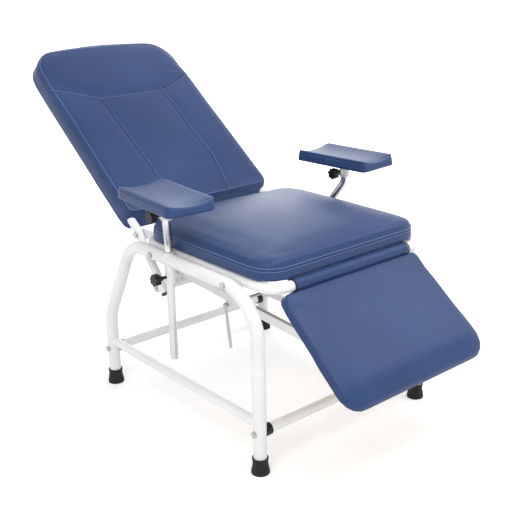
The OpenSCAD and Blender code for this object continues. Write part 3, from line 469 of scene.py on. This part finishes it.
def sew(piece, path, depth, width):
    """Draw a pad in along a path, by the depth at the seam itself."""
    far = distance_to(piece, path, 4 * width)
    drawn = depth * np.exp(-(far / width) ** 2)[:, None]
    set_points(piece.data, points_of(piece.data) - drawn * normals_of(piece.data))


def refine(piece, paths, reach):
    """Halve the faces near the seams."""
    near = np.any([distance_to(piece, path, reach) < reach for path in paths], axis=0)
    fine = bmesh.new()
    fine.from_mesh(piece.data)
    edges = [e for e in fine.edges if near[e.verts[0].index] and near[e.verts[1].index]]
    bmesh.ops.subdivide_edges(fine, edges=edges, cuts=1, use_grid_fill=True)
    fine.to_mesh(piece.data)
    fine.free()
    smooth(piece.data)


def stitches(name, piece, path, aside=0.0):
    """Thread beside a seam: one small rounded stitch after another, half sunk in the skin."""
    points, normals = laid(piece, path, STITCH_SAMPLING)
    step = round((STITCH_LENGTH + STITCH_GAP) / STITCH_SAMPLING)
    build = bmesh.new()
    for i in range(2, len(points) - step, step):
        a, b = points[i], points[i + round(STITCH_LENGTH / STITCH_SAMPLING)]
        out = normals[i]
        side = out.cross((b - a).normalized())
        a, b = (q + aside * side for q in (a, b))
        rings = []
        for share, size in STITCH_PROFILE:
            centre = a.lerp(b, share) + out * THREAD_LIFT * math.sin(share * math.pi)
            rings.append(circle(build, centre, THREAD_RADIUS * size, side, out, STITCH_SIDES))
        loft(build, rings)
    made = new_piece(name, build, "thread")
    made.parent = piece


def piping(name, piece, path, radius=PIPING_RADIUS):
    """A welt laid on the skin along a seam, half sunk in it. Its paler navy is a painted
    highlight: it stands in for the light that the seam's edge catches.
    """
    points, normals = laid(piece, path, PIPING_SAMPLING)
    build = bmesh.new()
    rings = []
    for i, (at, out) in enumerate(zip(points, normals)):
        ahead = points[min(i + 1, len(points) - 1)] - points[max(i - 1, 0)]
        side = out.cross(ahead.normalized()).normalized()
        rings.append(circle(build, at, radius, side, out, PIPING_SIDES))
    loft(build, rings)
    # the welt's paler finish is a painted highlight along the seam
    made = new_piece(name, build, "navy_piping")
    made.parent = piece


# Padded pieces
HINGE = Vector((0, -0.331, 0.4465))
PIVOT = Vector((0, 0.2205, 0.4465))
LEG_ANGLE, BACK_ANGLE = math.radians(39), math.radians(36.5)
LEG_FRAME = Matrix.Translation(HINGE) @ Matrix.Rotation(LEG_ANGLE, 4, "X")
BACK_FRAME = Matrix.Translation(PIVOT) @ Matrix.Rotation(BACK_ANGLE, 4, "X")
ARM_X, ARM_Y = 0.298, -0.015
TOE_OUT = math.radians(4.5)

FIRST_ROUNDS = 2  # of smoothing, on the remeshed skin
SEAM_DEPTH = 0.002  # how far a seam is drawn in before the cloth swells beside it
SEAM_VOXELS = 1.4  # that groove's width in voxels
SHRUNK = 0.5  # how far a skin starts inside its place, as a share of the cloth's cap
CLOTH_PRESSURE = 4.0
CLOTH_STIFFNESS = 12
CLOTH_QUALITY = 4
CLOTH_STEPS = 20
EVEN_MOVE = (0.5,) * 50  # pulls that leave no small creases in the cloth's move


def arm_frame(side):
    at = Vector((side * ARM_X, ARM_Y, 0))
    return Matrix.Translation(at) @ Matrix.Rotation(side * TOE_OUT, 4, "Z")


def outer_skin(name, node, local):
    """Convex skin round a CAD pad in its own frame, its board's pocket filled in."""
    shell = bmesh.new()
    inward = local.inverted()
    for vertex in frame["nodes"][node].data.vertices:
        shell.verts.new(inward @ vertex.co)
    bmesh.ops.convex_hull(shell, input=shell.verts[:], use_existing_faces=False)
    loose = [v for v in shell.verts if not v.link_faces]
    bmesh.ops.delete(shell, geom=loose, context="VERTS")
    return new_piece(name, shell)


def swelling(piece, start, pinned, cap, creased):
    """How cloth under pressure moves a pad's points, up to a cap and with fewer creases."""
    group = piece.vertex_groups.new(name="held")
    group.add([int(i) for i in np.nonzero(pinned)[0]], 1.0, "REPLACE")
    cloth = piece.modifiers.new("cloth", "CLOTH")
    cloth.settings.vertex_group_mass = "held"
    cloth.settings.use_pressure = True
    cloth.settings.uniform_pressure_force = CLOTH_PRESSURE
    cloth.settings.effector_weights.gravity = 0
    cloth.settings.tension_stiffness = CLOTH_STIFFNESS
    cloth.settings.compression_stiffness = CLOTH_STIFFNESS
    cloth.settings.quality = CLOTH_QUALITY
    for step in range(1, CLOTH_STEPS + 1):
        bpy.context.scene.frame_set(step)
    bpy.context.view_layer.update()
    made = piece.evaluated_get(bpy.context.evaluated_depsgraph_get())
    move = points_of(made.data) - start
    piece.modifiers.clear()
    bpy.context.scene.frame_set(1)
    far = np.linalg.norm(move, axis=1, keepdims=True)
    move *= np.minimum(1, cap / np.maximum(far, TINY))
    move = creased * move + (1 - creased) * eased(piece.data, move, EVEN_MOVE)
    move[pinned] = 0
    return move


def stuffed(name, node, local, voxel, cap, held, seams=(), mould=None, evened=9,
            creased=0.35):
    """A padded piece: the CAD pad's skin, remeshed, drawn in at its seams, blown up a
    little by cloth, evened out and rounded.

    local is the pad's own frame. There mould reshapes the points, and held says which of
    them the cloth can't move. voxel is the size of the new faces, cap the furthest that
    the cloth moves a point, creased the share of its small creases that stays, and
    evened the rounds of smoothing after it."""
    piece = outer_skin(name, node, local)
    remesh = piece.modifiers.new("remesh", "REMESH")
    remesh.mode = "VOXEL"
    remesh.voxel_size = voxel
    keep_modifiers(piece)
    mesh = piece.data
    relax(mesh, FIRST_ROUNDS)
    start = mould(points_of(mesh)) if mould else points_of(mesh)
    pinned = held(start)
    set_points(mesh, into(local, start))
    for path in seams:
        pinned |= distance_to(piece, path, 2 * voxel) < voxel
        sew(piece, path, SEAM_DEPTH, SEAM_VOXELS * voxel)
    start = points_of(mesh)
    start[~pinned] -= SHRUNK * cap * normals_of(mesh)[~pinned]
    set_points(mesh, start)
    set_points(mesh, start + swelling(piece, start, pinned, cap, creased))
    relax(mesh, evened)
    rounder = piece.modifiers.new("round", "SUBSURF")
    rounder.levels = rounder.render_levels = 1
    keep_modifiers(piece)
    smooth(piece.data)
    dress(piece.data, "navy_vinyl")
    return piece


def outline(local, halves, ends, radii, z):
    """Closed corner-rounded outline in a pad's own frame: its half widths, ends in y and
    corner radii, each for the low end and then the high one."""
    points = []
    for sx, k, start in ((1, 1, 0), (-1, 1, 90), (-1, 0, 180), (1, 0, 270)):
        r = radii[k]
        cx, cy = sx * (halves[k] - r), ends[k] + (r if k == 0 else -r)
        for t in range(0, 91, 9):
            turn = math.radians(start + t)
            corner = Vector((cx + r * math.cos(turn), cy + r * math.sin(turn), z))
            points.append(local @ corner)
    return points + points[:1]


def finish_pad(piece, body, *nodes, fill=0.85):
    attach(piece, body)
    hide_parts(*nodes)


def seat_pad():
    """Seat cushion with a stitched seam and two welts round its side."""
    base = 0.4593

    def level(height):
        return outline(Matrix(), halves=(0.258, 0.258), ends=(-0.328, 0.154),
                       radii=(0.065, 0.065), z=base + height)

    def held(points):
        return points[:, 2] < base + 0.012

    def tucked(points):
        """Its front edge hangs lower behind the roll."""
        front = rise(points[:, 1], -0.3, -0.315)
        inner = rise(np.abs(points[:, 0]), 0.2, 0.185)
        under = rise(points[:, 2], base + 0.02, base + 0.005)
        points[:, 2] -= 0.0055 * front * inner * under
        return points

    middle = level(0.0276)
    pad = stuffed("seat_pad", "seat_cushion", Matrix(), voxel=0.006, cap=0.004, held=held,
                  seams=[middle], mould=tucked, evened=14, creased=0.12)
    refine(pad, [middle], reach=0.008)
    sew(pad, middle, depth=0.0018, width=0.0016)
    clear = clear_of_axis(points_of(pad.data), (HINGE.y, HINGE.z), radius=0.0166)
    set_points(pad.data, clear)
    finish_pad(pad, "frame", "seat_cushion")
    piping("seat_welt_upper", pad, level(0.0312))
    piping("seat_welt_lower", pad, level(0.0236), THIN_PIPING_RADIUS)
    stitches("seat_stitches", pad, level(0.035))


def back_pad():
    """Backrest cushion: a head panel over three long channels, with welts and stitches."""
    front = 0.06

    def on_front(*places):
        return [BACK_FRAME @ Vector((x, u, front)) for x, u in places]

    def held(points):
        return points[:, 2] < -0.012

    def bowed(points):
        """Its top edge bows up, and its low edge reaches further down at the rear."""
        across = np.clip(points[:, 0] / 0.24, -1, 1)
        high = rise(points[:, 1], 0.48, 0.66)
        points[:, 1] += 0.02 * high ** 2 * (1 - across ** 2)
        low = rise(points[:, 1], 0.075, 0.045)
        points[:, 1] -= 0.012 * low * rise(points[:, 2], 0.016, -0.014)
        return points

    head = ((-0.25, 0.525), (-0.22, 0.512), (-0.16, 0.482), (-0.122, 0.462), (-0.108, 0.458),
            (0, 0.455), (0.1, 0.458), (0.115, 0.462), (0.16, 0.48), (0.22, 0.508), (0.25, 0.52))
    left = ((-0.112, 0.456), (-0.105, 0.3), (-0.098, 0.15), (-0.094, 0.036))
    right = ((0.104, 0.456), (0.105, 0.28), (0.113, 0.18), (0.1, 0.1), (0.092, 0.036))
    seams = [on_front(*places) for places in (head, left, right)]
    edge = outline(BACK_FRAME, halves=(0.243, 0.236), ends=(0.045, 0.669),
                   radii=(0.026, 0.076), z=0.05)
    side = outline(BACK_FRAME, halves=(0.247, 0.24), ends=(0.041, 0.673),
                   radii=(0.027, 0.079), z=0.0265)
    rear = outline(BACK_FRAME, halves=(0.236, 0.229), ends=(0.052, 0.662),
                   radii=(0.018, 0.068), z=-0.03)
    pad = stuffed("backrest_cushion", "back_pad", BACK_FRAME, voxel=0.006, cap=0.004,
                  held=held, seams=seams, mould=bowed)
    refine(pad, seams + [edge], reach=0.007)
    for path in seams:
        sew(pad, path, depth=0.0024, width=0.0016)
    sew(pad, side, depth=0.0014, width=0.0022)
    sew(pad, rear, depth=0.002, width=0.0025)
    finish_pad(pad, "backrest", "back_pad", "back_panel")
    beside = 0.003  # the welts lie this far from the seams that they follow
    piping("backrest_head_welt", pad, on_front(*((x, u - beside) for x, u in head)))
    piping("backrest_left_welt", pad, on_front(*((x + beside, u) for x, u in left)),
           THIN_PIPING_RADIUS)
    piping("backrest_right_welt", pad, on_front(*((x + beside, u) for x, u in right)))
    piping("backrest_edge_welt", pad, edge)
    for word, path in zip(("head", "left", "right"), seams):
        stitches("backrest_" + word + "_stitches", pad, path, aside=0.0075)


def leg_pad():
    """Leg rest cushion, whose face falls off to the toe and the sides."""
    rim = outline(LEG_FRAME, halves=(0.238, 0.228), ends=(-0.317, -0.014),
                  radii=(0.05, 0.02), z=-0.021)

    def held(points):
        return points[:, 2] < -0.025

    def fitted(points):
        """It is wider than the CAD pad, and nearer to the roll at its top."""
        top = rise(points[:, 1], -0.055, -0.02)
        toe = rise(points[:, 1], -0.25, -0.32)
        side = rise(np.abs(points[:, 0]), 0.16, 0.235)
        face = rise(points[:, 2], -0.028, -0.008)
        points[:, 2] -= face * (0.013 * toe ** 2 + 0.005 * side ** 2)
        points[:, 0] *= 1.03
        points[:, 1] += 0.009 * top
        points[:, 2] += 0.004 * top * (points[:, 2] > -0.02)
        return points

    def clear_of_roll(points):
        """It keeps out of the roll, of the rings beside it and of what is below."""
        by_roll = np.abs(points[:, 0]) < 0.184
        points = clear_of_axis(points, (0, 0), np.where(by_roll, 0.0149, 0.0161))
        points[:, 2] = np.maximum(points[:, 2], -0.0304)
        return points

    pad = stuffed("legrest_cushion", "leg_pad", LEG_FRAME, voxel=0.005, cap=0.003,
                  held=held, mould=fitted)
    sew(pad, rim, depth=0.0008, width=0.0025)
    points = clear_of_roll(into(LEG_FRAME.inverted(), points_of(pad.data)))
    set_points(pad.data, into(LEG_FRAME, points))
    finish_pad(pad, "legrest", "leg_pad")


def arm_pad(word, side):
    """Armrest cushion with a shallow trough along it and a welt round its top edge."""
    base, top, half, end = 0.59035, 0.62335, 0.066, 0.121
    local = arm_frame(side)

    def level(inset, z):
        return outline(local, halves=(half - inset, half - inset),
                       ends=(inset - end, end - inset), radii=(0.013, 0.013), z=z)

    def held(points):
        return points[:, 2] < base + 0.008

    def trough(points):
        """It sinks along the middle, and it is a little larger than the CAD pad."""
        high = rise(points[:, 2], base + 0.012, top)
        across = np.clip(points[:, 0] / (0.92 * half), -1, 1)
        points[:, 2] -= 0.011 * high * (1 - across ** 2)
        points[:, :2] *= 1.03
        return points

    edge, under = level(0.0015, top + 0.001), level(-0.001, top - 0.0085)
    pad = stuffed(word + "_arm_cushion", word + "_arm_pad", local, voxel=0.004, cap=0.002,
                  held=held, mould=trough)
    refine(pad, [edge], reach=0.008)
    sew(pad, under, depth=0.0012, width=0.002)
    for sx in (-1, 1):
        for sy in (-1, 1):
            corner = [local @ Vector((sx * (half - 0.002), sy * (end - 0.002), z))
                      for z in (base + 0.002, top - 0.006)]
            sew(pad, corner, depth=0.001, width=0.0022)
    points = into(local.inverted(), points_of(pad.data))
    points[:, 2] = np.maximum(points[:, 2], base + 0.0006)
    set_points(pad.data, into(local, points))
    finish_pad(pad, word + "_armrest", word + "_arm_pad")
    piping(word + "_arm_welt", pad, edge, ARM_PIPING_RADIUS)


def front_roll():
    """Padded sleeve over the leg rest's hinge, open underneath where the two arms pass."""
    half, radius, sides = 0.186, 0.0153, 64
    arm_x, arm_half = 0.155, 0.0125
    end_length, end_drop = 0.004, 0.0016
    even = half - 0.01
    stops = [-half, -half + 0.0012, -half + end_length, *np.linspace(-even, even, 120),
             half - end_length, half - 0.0012, half]
    for centre in (-arm_x, arm_x):
        stops += [centre - arm_half, centre + arm_half]
    stops.sort()
    build = bmesh.new()
    rings = []
    for x in stops:
        end = end_drop * max(0, 1 - (half - abs(x)) / end_length) ** 2
        wave = 0.0003 * math.sin(x * 23 + 1.3)
        ring = []
        for t in around(sides):
            fold = 0.00025 * math.sin(x * 95 + 2.4 * math.sin(t)) * math.sin(3 * t + x * 30)
            r = radius - end + fold + wave
            at = LEG_FRAME @ Vector((x, r * math.cos(t), r * math.sin(t)))
            ring.append(build.verts.new(at))
        rings.append(ring)
    above = [k for k, t in enumerate(around(sides)) if math.sin(t + math.pi / sides) >= -0.1]
    for x1, x2, first, second in zip(stops, stops[1:], rings, rings[1:]):
        by_arm = abs(abs((x1 + x2) / 2) - arm_x) < arm_half
        join(build, first, second, above if by_arm else range(sides))
    piece = new_piece("front_roll", build, "navy_vinyl")
    wall = piece.modifiers.new("wall", "SOLIDIFY")
    wall.thickness, wall.offset = 0.0009, -1
    keep_modifiers(piece)
    finish_pad(piece, "legrest", "leg_roll", fill=0.7)


# Stage
FLOOR_SIZE = 30
WORLD_LIGHT, WORLD_SEEN = 0.7, 1.0
LAMPS = {  # place, target, size and power
    "key": ((-2.2, -1.4, 2.7), (0, 0, 0.45), 1.8, 27),
    "fill": ((1.66, -1.1, 1.94), (0, -0.45, 0.33), 1.3, 11),
    "top": ((0.1, -0.9, 2.3), (0, -0.6, 0.3), 1.4, 18),
    "window": ((2.1, 2.7, 1.7), (0, -0.1, 0.5), 2.4, 30),
}


def lay_floor():
    """White floor that glows for the camera, more with the distance, so no edge shows."""
    bpy.ops.mesh.primitive_plane_add(size=FLOOR_SIZE)
    floor = bpy.context.object
    floor.name = "floor"
    paper = Finish("paper")
    speckle = paper.noise(scale=90, detail=3)
    paper.feed("Roughness", 0.9)
    paper.feed("Base Color", paper.mix(speckle * 0.1, grey(0.9), grey(0.87)))
    away = paper.add("ShaderNodeVectorMath", {"operation": "LENGTH"}, {0: paper.place}, "Value")
    glow = paper.add("ShaderNodeEmission", {}, {
        "Color": paper.fade(away * 0.3, 0.2, 0.9, least=0.3)})
    lit = Value(paper, paper.shader.outputs[0])
    both = paper.add("ShaderNodeAddShader", {}, {0: lit, 1: glow})
    paper.give(paper.nodes["Material Output"].inputs["Surface"],
               paper.either(paper.seen(), lit, both))
    floor.data.materials.append(paper.material)


def set_world():
    """White world that is brighter for the camera than as a light."""
    world = bpy.data.worlds.new("studio")
    bpy.context.scene.world = world
    world.use_nodes = True
    sky = Graph(world.node_tree)
    plain = sky.nodes["Background"]
    white = (*grey(1), 1)
    sky.give(plain.inputs["Color"], white)
    sky.give(plain.inputs["Strength"], WORLD_LIGHT)
    bright = sky.add("ShaderNodeBackground", {}, {"Color": white, "Strength": WORLD_SEEN})
    sky.give(sky.nodes["World Output"].inputs["Surface"],
             sky.either(sky.seen(), Value(sky, plain.outputs[0]), bright))


def hang_lamps():
    """Soft round lamps, each aimed at its target."""
    for name, (at, target, size, power) in LAMPS.items():
        lamp = bpy.data.objects.new(name, bpy.data.lights.new(name, "AREA"))
        lamp.data.shape = "DISK"
        lamp.data.size = size
        lamp.data.energy = power
        lamp.location = at
        aim = Vector(target) - Vector(at)
        lamp.rotation_euler = aim.to_track_quat("-Z", "Y").to_euler()
        bpy.context.collection.objects.link(lamp)


bpy.context.scene.view_settings.view_transform = "Standard"
place_camera()
dress_cad_nodes()
seat_pad()
back_pad()
leg_pad()
arm_pad("left", -1)
arm_pad("right", 1)
front_roll()
lay_floor()
set_world()
hang_lamps()
